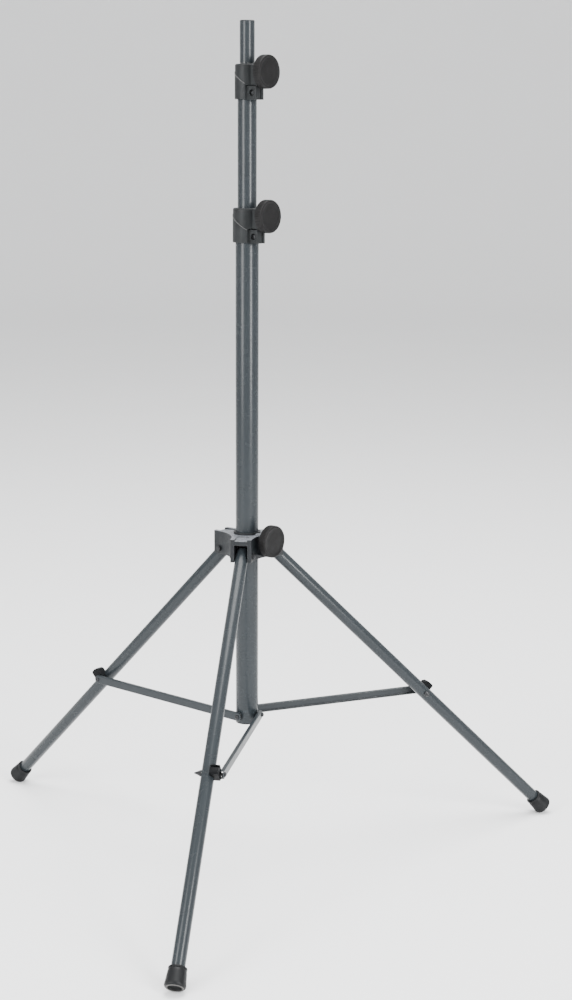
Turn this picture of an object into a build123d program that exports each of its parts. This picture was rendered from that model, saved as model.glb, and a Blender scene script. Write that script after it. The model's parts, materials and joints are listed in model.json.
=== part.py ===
from build123d import *
import math
import os

# A folding tripod stand: a three-section telescopic mast, a hub that slides on the mast's low tube,
# three legs that hang from the hub and three channel struts that tie the legs to the mast's bottom.
# Millimetres. The origin is on the mast's axis at floor level and +Z is up. The front leg points
# along -Y, the others 120 degrees to each side, and the clamp knobs point between the front leg and
# the right one. It is modelled standing, with the legs spread.

# ---- Driving dimensions ----

# Mast tubes: outer radius of each section, and the shared wall
LOW_R = 17.5
MID_R = 14.3
TOP_R = 11.1
WALL = 1.5
SLIDE_GAP = 0.3

# Heights above the floor
LOW_BOTTOM = 217.0
LOW_PLUG_LIP = 1.2
LOW_PLUG_DEPTH = 6.0
STRUT_SCREW_Z = 228.0
LOWER_COLLAR_Z = 966.0
UPPER_COLLAR_Z = 1176.8
TOP_END = 1292.0
MID_LENGTH = 800.0
TOP_LENGTH = 780.0
BUSH_LIP = 3.0
BUSH_LENGTH = 32.0
TOP_CAP = 1.5
TOP_CAP_BEVEL = 1.0
TOP_PLUG_DEPTH = 14.0
TOP_PLUG_WALL = 2.0
GROOVE_UP = 0.6
GROOVE_WIDTH = 1.2
GROOVE_DEPTH = 0.4

# Clamp collars, measured up from the underside of the pinch lugs
COLLAR_HEIGHT = 52.0
COLLAR_SKIRT = 0.8
COLLAR_WALL = 4.3
COLLAR_STEP = 0.35
LUG_HEIGHT = 20.0
LUG_SLOT = 1.5
LUG_REACH = 12.2
LUG_NEAR = 12.3
LUG_FAR = 6.7
LUG_SPLIT = 2.0
PINCH_BOLT_REACH = 4.6
PINCH_BOLT_R = 2.0
PINCH_HEAD_R = 4.0
PINCH_RECESS_R = 4.9
PINCH_RECESS = 3.6
PINCH_NUT_FLATS = 7.0
PINCH_NUT_SINK = 2.2
PINCH_NUT_THICK = 3.2
KNOB_UP = 40.3
TUBE_SEAT = 33.5
SEAM_UP = 29.6
SEAM_SLOPE = 0.69
BOSS_HALF_WIDTH = 10.0
COLLAR_EDGE = 2.4
SKIRT_EDGE = 0.8
LUG_EDGE = 1.0
SKIRT_THIN_WALL = 1.1

# Clamp knobs and their screws. The knob's face is measured from the clamped tube's surface.
KNOB_R = 24.8
KNOB_RIM = 11.5
KNOB_DEPTH = 15.0
KNOB_BACK_R = 21.5
KNOB_NECK_R = 9.5
KNOB_NECK = 1.4
KNOB_LIP = 2.6
KNOB_DISH = 0.8
KNOB_GAP = 0.5
KNOB_FACE_REACH = 32.4
STUD_R = 3.9
STUD_SINK = 4.0
STUD_GAP = 0.3
SHOE_R = 4.6
SHOE_LENGTH = 5.4
SHOE_CURVE = 3.0
INSERT_R = 6.0
INSERT_LENGTH = 8.0

# Hub
HUB_BOTTOM = 484.0
HUB_TOP = 519.5
HUB_RING_TOP = 523.0
HUB_RING_R = 20.9
HUB_WAIST_R = 29.0
HUB_LINER_WALL = 1.5
HUB_ARM_END = 54.3
HUB_ARM_HALF_WIDTH = 16.5
HUB_SLOT_HALF_WIDTH = 10.4
HUB_SLOT_START = 28.5
HUB_WEB = 9.0
HUB_CORNER = 2.0
HUB_RECESS_START = 31.0
HUB_RECESS_HALF_WIDTH = 9.7
HUB_RECESS_INNER = 0.8
HUB_RECESS_OUTER = 3.0
HUB_BOSS_R = 9.0
HUB_BOSS_FOOT = 6.0
HUB_KNOB_Z = 512.9
HUB_KNOB_FACE = 56.0
PIVOT_REACH = 43.0
PIVOT_Z = 492.0
PIVOT_BOLT_R = 2.5
PIVOT_NUT_FLATS = 8.0
PIVOT_NUT_THICK = 3.0
PIVOT_HEAD_R = 4.6
PIVOT_HEAD_HEIGHT = 3.2
PIVOT_SPOT_R = 5.6
BOLT_TAIL = 0.8

# Legs
LEG_R = 9.85
LEG_WALL = 1.4
LEG_TILT = 45.44
LEG_OVERHANG = 9.0
LEG_PLUG_DEPTH = 14.0
STRUT_DOWN_LEG = 370.0
FOOT_LENGTH = 29.0
FOOT_RIM_R = 13.2
FOOT_BASE_R = 15.2
FOOT_EDGE = 3.5
FOOT_FLOOR = 4.0
FOOT_RIM = 3.0
FOOT_RIM_STEP = 0.7
FOOT_SOLE_R = 8.0
FOOT_SOLE_HOLLOW = 2.4

# Struts
STRUT_INNER_FACE = 18.4
STRUT_DEPTH = 5.5
STRUT_HEIGHT = 13.0
STRUT_SHEET = 1.5
STRUT_EDGE = 1.2
STRUT_HEAD_R = 3.6
STRUT_HEAD_HEIGHT = 3.0
STRUT_HEAD_SOCKET_R = 1.4
STRUT_SPACER_R = 4.5
STRUT_BOLT_R = 2.5
CLIP_INNER_FACE = 5.0
CLIP_OUTER_FACE = 18.1
CLIP_HALF_LENGTH = 8.0
CLIP_REACH = 19.0
CLIP_NOTCH = 4.5
CLIP_BACK = 7.5
CLIP_BACK_BEVEL = 3.0
CLIP_JAW_BEVEL = 2.0
CAP_R = 4.6
CAP_RIM = 2.2
CAP_TIP_R = 0.9
CAP_LENGTH = 10.5
STRUT_GAP = 0.2
PIN_CLEARANCE = 0.1

LEG_TURNS = {"front": -90.0, "right": 30.0, "left": 150.0}
KNOB_TURN = -30.0

# ---- Worked-out sizes ----

LOW_BORE = LOW_R - WALL
MID_BORE = MID_R - WALL
TOP_BORE = TOP_R - WALL
LOW_TOP = LOWER_COLLAR_Z + TUBE_SEAT
MID_TOP = UPPER_COLLAR_Z + TUBE_SEAT
TILT = math.radians(LEG_TILT)
STRUT_OUT_X = PIVOT_REACH + STRUT_DOWN_LEG * math.sin(TILT)
STRUT_OUT_Z = PIVOT_Z - STRUT_DOWN_LEG * math.cos(TILT)
STRUT_SPAN = math.hypot(STRUT_OUT_X, STRUT_OUT_Z - STRUT_SCREW_Z)
STRUT_RISE = math.degrees(math.atan2(STRUT_OUT_Z - STRUT_SCREW_Z, STRUT_OUT_X))
STRUT_OUTER_FACE = STRUT_INNER_FACE + STRUT_DEPTH
# The foot's rounded base edge touches the floor, which gives the leg's length
LEG_LENGTH = FOOT_EDGE + (
    PIVOT_Z - FOOT_EDGE - (FOOT_BASE_R - FOOT_EDGE) * math.sin(TILT)
) / math.cos(TILT)


# ---- Shared helpers ----


def tube(outer, inner, low, high):
    """A tube about Z between two heights."""
    length = high - low
    return Pos(0, 0, (low + high) / 2) * (Cylinder(outer, length) - Cylinder(inner, length))


def rod(radius, low, high):
    """A round bar about Z between two heights."""
    return Pos(0, 0, (low + high) / 2) * Cylinder(radius, high - low)


def rod_x(radius, start, end, z=0.0):
    """A round bar along X at height z."""
    return Pos((start + end) / 2, 0, z) * Rot(0, 90, 0) * Cylinder(radius, end - start)


def rod_y(radius, start, end, x=0.0, z=0.0):
    """A round bar along Y at (x, z)."""
    return Pos(x, (start + end) / 2, z) * Rot(90, 0, 0) * Cylinder(radius, end - start)


def block(x0, x1, y0, y1, z0, z1):
    """A box between three pairs of limits."""
    return Pos((x0 + x1) / 2, (y0 + y1) / 2, (z0 + z1) / 2) * Box(x1 - x0, y1 - y0, z1 - z0)


def turned(points):
    """A solid of revolution about Z from an (radius, height) outline."""
    return revolve(make_face(Plane.XZ * Polyline(*points, close=True)), Axis.Z)


def domed_head(radius, height, rim=1.0):
    """A spherical-capped screw head about Z, its flat underside at the origin."""
    rise = height - rim
    ball = (radius**2 + rise**2) / (2 * rise)
    half_turn = math.asin(min(1.0, radius / ball)) / 2
    if rise > radius:
        half_turn = (math.pi - 2 * half_turn) / 2
    middle = (ball * math.sin(half_turn), height - ball + ball * math.cos(half_turn))
    outline = Polyline((0, height), (0, 0), (radius, 0), (radius, rim))
    dome = ThreePointArc((radius, rim), middle, (0, height))
    return revolve(make_face(Plane.XZ * (outline + dome)), Axis.Z)


def hexagon(across_flats, height):
    """A hexagonal prism about Z, standing on the origin."""
    return extrude(RegularPolygon(across_flats / 2, 6, major_radius=False), height)


def toward_knob(shape):
    """Turns a shape made with its knob along +X to the knobs' true direction."""
    return Rot(0, 0, KNOB_TURN) * shape


def down_leg(shape):
    """Puts a shape made along +Z from the hub pivot onto a spread leg in the XZ plane."""
    return Pos(PIVOT_REACH, 0, PIVOT_Z) * Rot(0, 180 - LEG_TILT, 0) * shape


# ---- Mast ----


def low_tube():
    body = tube(LOW_R, LOW_BORE, LOW_BOTTOM, LOW_TOP)
    for turn in LEG_TURNS.values():
        body -= Rot(0, 0, turn) * rod_y(STRUT_BOLT_R, LOW_BORE - 3, LOW_R + 2, z=STRUT_SCREW_Z)
    return body


def low_tube_plug():
    lip = rod(LOW_R, LOW_BOTTOM - LOW_PLUG_LIP, LOW_BOTTOM)
    return lip + tube(LOW_BORE, LOW_BORE - WALL, LOW_BOTTOM, LOW_BOTTOM + LOW_PLUG_DEPTH)


def mid_tube():
    return tube(MID_R, MID_BORE, MID_TOP - MID_LENGTH, MID_TOP)


def guide_bush(bore_around, tube_radius, tube_bore, foot):
    """The sleeve at a sliding tube's foot, with a lip under the tube's end."""
    outer = bore_around - SLIDE_GAP
    return turned([
        (tube_bore, foot - BUSH_LIP), (outer, foot - BUSH_LIP), (outer, foot + BUSH_LENGTH),
        (tube_radius, foot + BUSH_LENGTH), (tube_radius, foot), (tube_bore, foot),
    ])


def top_tube():
    """The top section. A fine groove marks the start of its free end, which takes the load."""
    body = tube(TOP_R, TOP_BORE, TOP_END - TOP_LENGTH, TOP_END - TOP_CAP)
    groove_low = UPPER_COLLAR_Z + COLLAR_HEIGHT + GROOVE_UP
    body -= tube(TOP_R + 1, TOP_R - GROOVE_DEPTH, groove_low, groove_low + GROOVE_WIDTH)
    return body


def top_tube_plug():
    lip = turned([
        (0, TOP_END - TOP_CAP), (TOP_R, TOP_END - TOP_CAP), (TOP_R, TOP_END - TOP_CAP_BEVEL),
        (TOP_R - TOP_CAP_BEVEL, TOP_END), (0, TOP_END),
    ])
    return lip + tube(TOP_BORE, TOP_BORE - TOP_PLUG_WALL, TOP_END - TOP_PLUG_DEPTH, TOP_END - TOP_CAP)


def strut_screws():
    """The three screws in the low tube's side that the struts turn on."""
    under_head = STRUT_OUTER_FACE + STRUT_GAP
    screw = rod_y(STRUT_BOLT_R, LOW_BORE - 2, under_head)
    screw += Pos(0, under_head, 0) * Rot(-90, 0, 0) * domed_head(STRUT_HEAD_R, STRUT_HEAD_HEIGHT)
    screw -= rod_y(STRUT_HEAD_SOCKET_R, under_head + STRUT_HEAD_HEIGHT / 2, under_head + STRUT_HEAD_HEIGHT)
    screw = Pos(0, 0, STRUT_SCREW_Z) * screw
    return [Rot(0, 0, turn) * screw for turn in LEG_TURNS.values()]


def strut_spacers():
    """The round spacers that hold the struts off the low tube."""
    spacer_end = STRUT_OUTER_FACE - STRUT_SHEET - STRUT_GAP
    spacer = rod_y(STRUT_SPACER_R, LOW_BORE, spacer_end, z=STRUT_SCREW_Z)
    spacer -= rod(LOW_R, STRUT_SCREW_Z - 10, STRUT_SCREW_Z + 10)
    spacer -= rod_y(STRUT_BOLT_R, LOW_BORE - 1, spacer_end + 1, z=STRUT_SCREW_Z)
    return [Rot(0, 0, turn) * spacer for turn in LEG_TURNS.values()]


# ---- Clamp collars ----


def collar(base, held_r, sliding_r):
    """A moulded collar: it pinches the tube below and guides and clamps the tube that slides in it."""
    outer = held_r + COLLAR_WALL
    foot = base + COLLAR_SKIRT
    top = base + COLLAR_HEIGHT
    slot_top = base + LUG_HEIGHT + LUG_SLOT
    boss_end = sliding_r + KNOB_FACE_REACH - KNOB_DEPTH - KNOB_GAP
    tip = held_r + LUG_REACH
    thin_wall = held_r + SKIRT_THIN_WALL
    shoulder = math.sqrt(thin_wall**2 - LUG_NEAR**2)
    knob_z = base + KNOB_UP

    core = rod(outer - COLLAR_STEP, foot, top)
    core = fillet(core.edges().group_by(Axis.Z)[-1], COLLAR_EDGE)
    # The skirt is the collar's full-size lower part; its top edge slopes down toward the knob.
    skirt = rod(outer, foot, top - 4)
    seam = Pos(0, 0, base + SEAM_UP) * Rot(0, math.degrees(math.atan(SEAM_SLOPE)), 0)
    skirt -= seam * Pos(0, 0, 60) * Box(160, 160, 120)
    skirt = chamfer(skirt.edges().group_by(Axis.Z)[0], SKIRT_EDGE)
    boss = block(0, boss_end, -BOSS_HALF_WIDTH, BOSS_HALF_WIDTH, slot_top, top - 1.5)
    body = core + skirt + boss
    # The pinch lugs sit in a cut-out of the skirt, below a slot that lets them flex.
    body -= block(shoulder, outer + 20, -outer - 5, -LUG_NEAR, foot - 5, slot_top)
    lugs = block(0, tip, -LUG_NEAR, LUG_FAR, base, base + LUG_HEIGHT)
    lugs = fillet(lugs.edges().filter_by(Axis.Z).sort_by(Axis.X)[-2:], LUG_EDGE)
    body += lugs
    body -= block(shoulder, outer + 20, -outer - 5, outer + 5, base + LUG_HEIGHT, slot_top)
    body -= block(0, outer + 20, -LUG_SPLIT / 2, LUG_SPLIT / 2, base - 1, slot_top)
    # Bores for the two tubes
    body -= rod(held_r, base - 1, base + TUBE_SEAT)
    body -= rod(sliding_r + SLIDE_GAP, base, top + 1)
    # Bores for the clamp screw's shoe and insert
    body -= rod_x(SHOE_R + SLIDE_GAP, 0, boss_end - INSERT_LENGTH, knob_z)
    body -= rod_x(INSERT_R, boss_end - INSERT_LENGTH, boss_end + 1, knob_z)
    # Bore, head recess and nut pocket of the pinch bolt
    bolt_x = held_r + PINCH_BOLT_REACH
    bolt_z = base + LUG_HEIGHT / 2
    body -= rod_y(PINCH_BOLT_R, -LUG_NEAR - 1, LUG_FAR + 1, bolt_x, bolt_z)
    body -= rod_y(PINCH_RECESS_R, -LUG_NEAR - 1, -LUG_NEAR + PINCH_RECESS, bolt_x, bolt_z)
    body -= nut_pocket(bolt_x, bolt_z)
    return toward_knob(body)


def nut_pocket(bolt_x, bolt_z):
    """The hexagonal pocket in the far lug that holds the pinch bolt's nut."""
    pocket = hexagon(PINCH_NUT_FLATS, PINCH_NUT_SINK + 2)
    return Pos(bolt_x, LUG_FAR - PINCH_NUT_SINK, bolt_z) * Rot(-90, 0, 0) * pocket


def pinch_bolt(base, held_r):
    bolt_x = held_r + PINCH_BOLT_REACH
    bolt_z = base + LUG_HEIGHT / 2
    seat = -LUG_NEAR + PINCH_RECESS
    shank = rod_y(PINCH_BOLT_R, seat, LUG_FAR + 1.6, bolt_x, bolt_z)
    head = Pos(bolt_x, seat, bolt_z) * Rot(90, 0, 0) * domed_head(PINCH_HEAD_R, 3.0)
    bolt = shank + head
    bolt -= block(bolt_x - 0.5, bolt_x + 0.5, seat - 4, seat - 1.6, bolt_z - 2.4, bolt_z + 2.4)
    bolt -= block(bolt_x - 2.4, bolt_x + 2.4, seat - 4, seat - 1.6, bolt_z - 0.5, bolt_z + 0.5)
    return toward_knob(bolt)


def pinch_nut(base, held_r):
    bolt_x = held_r + PINCH_BOLT_REACH
    bolt_z = base + LUG_HEIGHT / 2
    nut = hexagon(PINCH_NUT_FLATS, PINCH_NUT_THICK) - rod(PINCH_BOLT_R, -1, PINCH_NUT_THICK + 1)
    return toward_knob(Pos(bolt_x, LUG_FAR - PINCH_NUT_SINK, bolt_z) * Rot(-90, 0, 0) * nut)


# ---- Clamp screws: insert, shoe, stud and knob, made along +X from the mast's axis ----


def clamp_insert(boss_end, z):
    """The threaded metal insert that the clamp screw turns in."""
    ring = rod_x(INSERT_R, boss_end - INSERT_LENGTH, boss_end, z)
    ring -= rod_x(STUD_R + STUD_GAP, boss_end - INSERT_LENGTH - 1, boss_end + 1, z)
    return toward_knob(ring)


def clamp_shoe(tube_r, z):
    """The pad on the screw's tip that presses on the tube, hollowed to the tube's curve."""
    start = tube_r + SLIDE_GAP
    shoe = rod_x(SHOE_R, start - SHOE_CURVE, start + SHOE_LENGTH, z)
    shoe -= rod(start, z - 20, z + 20)
    return toward_knob(shoe)


def clamp_stud(tube_r, face, z):
    """The screw between the shoe and the knob."""
    start = tube_r + SLIDE_GAP + SHOE_LENGTH + PIN_CLEARANCE
    return toward_knob(rod_x(STUD_R, start, face - STUD_SINK, z))


def clamp_knob(face, z):
    """A round knob with a dished face, a thick rim and a tapered back."""
    rim_start = face - 1 - KNOB_RIM
    back = face - KNOB_DEPTH
    knob = turned([
        (0, back), (KNOB_NECK_R, back), (KNOB_NECK_R, back + KNOB_NECK), (KNOB_BACK_R, rim_start),
        (KNOB_R - 0.6, rim_start), (KNOB_R, rim_start + 0.6), (KNOB_R, face - 1), (KNOB_R - 1, face),
        (KNOB_R - KNOB_LIP, face), (KNOB_R - 2 * KNOB_LIP, face - KNOB_DISH), (0, face - KNOB_DISH),
    ])
    knob -= rod(STUD_R, back - 1, face - STUD_SINK)
    return toward_knob(Pos(0, 0, z) * Rot(0, 90, 0) * knob)


# ---- Hub ----


def hub_plan():
    """The casting's outline: three square arms joined by concave walls."""
    half = HUB_ARM_HALF_WIDTH
    # Each concave wall is tangent to both arms' sides and comes within HUB_WAIST_R of the axis.
    centre = 2 * (HUB_WAIST_R - half) / (2 - math.sqrt(3))
    plan = Circle(math.hypot(centre / 2, half))
    for turn in LEG_TURNS.values():
        plan += Rot(0, 0, turn) * Pos(HUB_ARM_END / 2, 0) * Rectangle(HUB_ARM_END, 2 * half)
    for turn in LEG_TURNS.values():
        plan -= Rot(0, 0, turn + 60) * Pos(centre, 0) * Circle(centre - HUB_WAIST_R)
    return plan


def hub_arm_cuts():
    """What is cut from one arm: the leg's slot, a sloping recess on top, the pivot's bore and flats."""
    past_end = HUB_ARM_END + 5
    side = HUB_ARM_HALF_WIDTH
    slot = block(
        HUB_SLOT_START, past_end, -HUB_SLOT_HALF_WIDTH, HUB_SLOT_HALF_WIDTH,
        HUB_BOTTOM - 1, HUB_TOP - HUB_WEB,
    )
    outline = Polyline(
        (HUB_RECESS_START, HUB_TOP + 1), (HUB_RECESS_START, HUB_TOP - HUB_RECESS_INNER),
        (past_end, HUB_TOP - HUB_RECESS_OUTER), (past_end, HUB_TOP + 1), close=True,
    )
    recess = extrude(make_face(Plane.XZ * outline), HUB_RECESS_HALF_WIDTH, both=True)
    cuts = slot + recess + rod_y(PIVOT_BOLT_R, -side - 1, side + 1, PIVOT_REACH, PIVOT_Z)
    for start in (side, -side - 5):
        cuts += rod_y(PIVOT_SPOT_R, start, start + 5, PIVOT_REACH, PIVOT_Z)
    return cuts


def hub_casting():
    """The casting that the legs hang from, with the boss of the hub's clamp screw."""
    body = Pos(0, 0, HUB_BOTTOM) * extrude(hub_plan(), HUB_TOP - HUB_BOTTOM)
    uprights = body.edges().filter_by(Axis.Z)
    ends = [e for e in uprights if math.hypot(e.center().X, e.center().Y) > HUB_ARM_END]
    body = fillet(ends, HUB_CORNER)
    body += rod(HUB_RING_R, HUB_BOTTOM, HUB_RING_TOP - HUB_LINER_WALL)
    for turn in LEG_TURNS.values():
        body -= Rot(0, 0, turn) * hub_arm_cuts()
    boss_start = HUB_RING_R - 2
    boss_end = HUB_KNOB_FACE - KNOB_DEPTH - KNOB_GAP
    boss = rod_x(HUB_BOSS_R, boss_start, boss_end, HUB_KNOB_Z)
    boss += block(boss_start, boss_end, -HUB_BOSS_R, HUB_BOSS_R, HUB_BOTTOM + HUB_BOSS_FOOT, HUB_KNOB_Z)
    body += toward_knob(boss)
    body -= rod(HUB_RING_R, HUB_RING_TOP - HUB_LINER_WALL, HUB_RING_TOP + 1)
    body -= rod(LOW_R + SLIDE_GAP + HUB_LINER_WALL, HUB_BOTTOM - 1, HUB_RING_TOP + 1)
    bore = rod_x(SHOE_R + SLIDE_GAP, 10, boss_end - INSERT_LENGTH, HUB_KNOB_Z)
    bore += rod_x(INSERT_R, boss_end - INSERT_LENGTH, boss_end + 1, HUB_KNOB_Z)
    return body - toward_knob(bore)


def hub_liner():
    """The plastic sleeve between hub and low tube, with a flange on the hub's top ring."""
    inner = LOW_R + SLIDE_GAP
    outer = inner + HUB_LINER_WALL
    flange_low = HUB_RING_TOP - HUB_LINER_WALL
    liner = tube(outer, inner, HUB_BOTTOM, flange_low) + tube(HUB_RING_R, inner, flange_low, HUB_RING_TOP)
    return liner - toward_knob(rod_x(SHOE_R + SLIDE_GAP, 5, 30, HUB_KNOB_Z))


def hub_pivot_bolts():
    """The three bolts that the legs turn on."""
    half = HUB_ARM_HALF_WIDTH
    bolt = rod_y(PIVOT_BOLT_R, -half, half + PIVOT_NUT_THICK + BOLT_TAIL)
    bolt += Pos(0, -half, 0) * Rot(90, 0, 0) * domed_head(PIVOT_HEAD_R, PIVOT_HEAD_HEIGHT)
    bolt = Pos(PIVOT_REACH, 0, PIVOT_Z) * bolt
    return [Rot(0, 0, turn) * bolt for turn in LEG_TURNS.values()]


def hub_pivot_nuts():
    nut = hexagon(PIVOT_NUT_FLATS, PIVOT_NUT_THICK) - rod(PIVOT_BOLT_R, -1, PIVOT_NUT_THICK + 1)
    nut = Pos(PIVOT_REACH, HUB_ARM_HALF_WIDTH, PIVOT_Z) * Rot(-90, 0, 0) * nut
    return [Rot(0, 0, turn) * nut for turn in LEG_TURNS.values()]


# ---- Legs, made hanging along +Z from the hub pivot; down_leg tilts them ----


def leg_tube():
    body = tube(LEG_R, LEG_R - LEG_WALL, -LEG_OVERHANG, LEG_LENGTH - FOOT_FLOOR)
    body -= rod_y(PIVOT_BOLT_R + PIN_CLEARANCE, -20, 20)
    body -= rod_y(STRUT_BOLT_R, -20, 20, z=STRUT_DOWN_LEG)
    return down_leg(body)


def leg_plug():
    """The plug that stiffens the leg's end around the hub pivot."""
    body = rod(LEG_R - LEG_WALL, -LEG_OVERHANG, LEG_PLUG_DEPTH)
    body -= rod_y(PIVOT_BOLT_R + PIN_CLEARANCE, -20, 20)
    return down_leg(body)


def foot():
    """A flared rubber boot on the leg's end."""
    top = LEG_LENGTH - FOOT_LENGTH
    edge_r = FOOT_BASE_R - FOOT_EDGE
    side = Polyline(
        (LEG_R, top), (FOOT_RIM_R, top), (FOOT_RIM_R, top + FOOT_RIM),
        (FOOT_RIM_R - FOOT_RIM_STEP, top + FOOT_RIM + 1),
        (FOOT_BASE_R, LEG_LENGTH - FOOT_EDGE - 2), (FOOT_BASE_R, LEG_LENGTH - FOOT_EDGE),
    )
    lean = FOOT_EDGE * math.sqrt(0.5)
    edge = ThreePointArc(
        (FOOT_BASE_R, LEG_LENGTH - FOOT_EDGE),
        (edge_r + lean, LEG_LENGTH - FOOT_EDGE + lean),
        (edge_r, LEG_LENGTH),
    )
    base = Polyline(
        (edge_r, LEG_LENGTH), (FOOT_SOLE_R, LEG_LENGTH),
        (FOOT_SOLE_R - 1, LEG_LENGTH - FOOT_SOLE_HOLLOW), (0, LEG_LENGTH - FOOT_SOLE_HOLLOW),
        (0, LEG_LENGTH - FOOT_FLOOR), (LEG_R, LEG_LENGTH - FOOT_FLOOR), (LEG_R, top),
    )
    return down_leg(revolve(make_face(Plane.XZ * (side + edge + base)), Axis.Z))


def clip_block():
    """The moulded spacer between leg and strut, with a notched cable clip on its outer end."""
    half = CLIP_HALF_LENGTH
    notch = CLIP_REACH - CLIP_NOTCH
    bevel = CLIP_BACK_BEVEL
    # (down the leg, outward from the leg) about the strut bolt
    outline = Polyline(
        (-half, -CLIP_BACK + bevel), (-half + bevel, -CLIP_BACK),
        (half - bevel, -CLIP_BACK), (half, -CLIP_BACK + bevel),
        (half, CLIP_REACH - CLIP_JAW_BEVEL), (half - CLIP_JAW_BEVEL, CLIP_REACH),
        (-1.2, CLIP_REACH), (-1.7, notch), (-4.3, notch), (-4.8, CLIP_REACH - 1),
        (-half, CLIP_REACH - 5), close=True,
    )
    # The outline's plane faces across the leg, with X down the leg and Y outward from it.
    side = Plane(origin=(0, CLIP_OUTER_FACE, STRUT_DOWN_LEG), x_dir=(0, 0, 1), z_dir=(0, -1, 0))
    body = extrude(make_face(side * outline), CLIP_OUTER_FACE - CLIP_INNER_FACE)
    body -= rod(LEG_R, STRUT_DOWN_LEG - 20, STRUT_DOWN_LEG + 20)
    body -= rod_y(STRUT_BOLT_R, 0, 25, z=STRUT_DOWN_LEG)
    return down_leg(body)


def strut_bolt():
    """The bolt through leg and clip block that the strut's end meets."""
    bolt = rod_y(STRUT_BOLT_R, -LEG_R - CAP_RIM, CLIP_OUTER_FACE, z=STRUT_DOWN_LEG)
    return down_leg(bolt)


def strut_bolt_cap():
    """The pointed cap on the bolt's end, on the leg's other side."""
    cap = turned([
        (0, 0), (CAP_R, 0), (CAP_R, CAP_RIM), (CAP_R - 1, CAP_RIM + 1), (CAP_TIP_R, CAP_LENGTH - 0.4),
        (CAP_TIP_R - 0.4, CAP_LENGTH), (0, CAP_LENGTH),
    ])
    cap -= rod(STRUT_BOLT_R, -1, CAP_RIM)
    cap = Pos(0, -LEG_R, STRUT_DOWN_LEG) * Rot(90, 0, 0) * cap
    return down_leg(cap)


# ---- Struts, made level along +X from the mast's axis ----


def strut_channel():
    """A round-ended channel, open toward the leg, with its web outside."""
    half = STRUT_HEIGHT / 2
    blank = Pos(STRUT_SPAN / 2, 0) * SlotCenterToCenter(STRUT_SPAN, STRUT_HEIGHT)
    body = extrude(blank, STRUT_DEPTH)
    body = fillet(body.faces().sort_by(Axis.Z)[0].edges(), STRUT_EDGE)
    cavity = half - STRUT_SHEET
    body -= block(-20, STRUT_SPAN + 20, -cavity, cavity, STRUT_SHEET, STRUT_DEPTH + 1)
    body -= rod(STRUT_BOLT_R + PIN_CLEARANCE, -1, STRUT_DEPTH + 1)
    body -= Pos(STRUT_SPAN, 0) * rod(STRUT_BOLT_R, -1, STRUT_DEPTH + 1)
    body = Pos(0, STRUT_OUTER_FACE, 0) * Rot(90, 0, 0) * body
    return Pos(0, 0, STRUT_SCREW_Z) * Rot(0, -STRUT_RISE, 0) * body


def strut_head():
    """The strut's own pivot head at its outer end."""
    head = Rot(-90, 0, 0) * domed_head(STRUT_HEAD_R, STRUT_HEAD_HEIGHT)
    head -= rod_y(STRUT_HEAD_SOCKET_R, STRUT_HEAD_HEIGHT / 2, STRUT_HEAD_HEIGHT)
    head += rod_y(STRUT_BOLT_R, STRUT_INNER_FACE - STRUT_OUTER_FACE, 0)
    head = Pos(STRUT_SPAN, STRUT_OUTER_FACE, 0) * head
    return Pos(0, 0, STRUT_SCREW_Z) * Rot(0, -STRUT_RISE, 0) * head


# ---- The nodes ----


def clamp_nodes(name, tube_r, face, z):
    """The four pieces of one clamp screw."""
    boss_end = face - KNOB_DEPTH - KNOB_GAP
    return {
        f"{name}_clamp_insert": clamp_insert(boss_end, z),
        f"{name}_clamp_shoe": clamp_shoe(tube_r, z),
        f"{name}_clamp_stud": clamp_stud(tube_r, face, z),
        f"{name}_knob": clamp_knob(face, z),
    }


def collar_nodes(name, base, held_r, sliding_r):
    """A collar with its pinch bolt, nut and clamp screw."""
    face = sliding_r + KNOB_FACE_REACH
    return {
        f"{name}_collar": collar(base, held_r, sliding_r),
        f"{name}_pinch_bolt": pinch_bolt(base, held_r),
        f"{name}_pinch_nut": pinch_nut(base, held_r),
        **clamp_nodes(name, sliding_r, face, base + KNOB_UP),
    }


def mast_nodes():
    return {
        "low_tube": low_tube(),
        "low_tube_plug": low_tube_plug(),
        "mid_tube": mid_tube(),
        "mid_tube_bush": guide_bush(LOW_BORE, MID_R, MID_BORE, MID_TOP - MID_LENGTH),
        "top_tube": top_tube(),
        "top_tube_bush": guide_bush(MID_BORE, TOP_R, TOP_BORE, TOP_END - TOP_LENGTH),
        "top_tube_plug": top_tube_plug(),
        "strut_screws": strut_screws(),
        "strut_spacers": strut_spacers(),
    }


def hub_nodes():
    return {
        "hub_casting": hub_casting(),
        "hub_liner": hub_liner(),
        "hub_pivot_bolts": hub_pivot_bolts(),
        "hub_pivot_nuts": hub_pivot_nuts(),
        **clamp_nodes("hub", LOW_R, HUB_KNOB_FACE, HUB_KNOB_Z),
    }


def leg_nodes(name, turn):
    """One leg and one strut, turned to their place."""
    pieces = {
        "leg_tube": leg_tube(),
        "leg_plug": leg_plug(),
        "foot": foot(),
        "cable_clip": clip_block(),
        "strut_bolt": strut_bolt(),
        "strut_bolt_cap": strut_bolt_cap(),
        "strut": strut_channel(),
        "strut_head": strut_head(),
    }
    return {f"{name}_{piece}": Rot(0, 0, turn) * shape for piece, shape in pieces.items()}


def all_nodes():
    nodes = {**mast_nodes(), **hub_nodes()}
    nodes.update(collar_nodes("lower", LOWER_COLLAR_Z, LOW_R, MID_R))
    nodes.update(collar_nodes("upper", UPPER_COLLAR_Z, MID_R, TOP_R))
    for name, turn in LEG_TURNS.items():
        nodes.update(leg_nodes(name, turn))
    return nodes


def main():
    os.makedirs("parts", exist_ok=True)
    for name, shape in all_nodes().items():
        solid = Compound(shape) if isinstance(shape, list) else shape
        export_step(solid, os.path.join("parts", name + ".step"))


main()
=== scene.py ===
import json
import math

import bmesh
import bpy
from mathutils import Matrix, Vector


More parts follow.
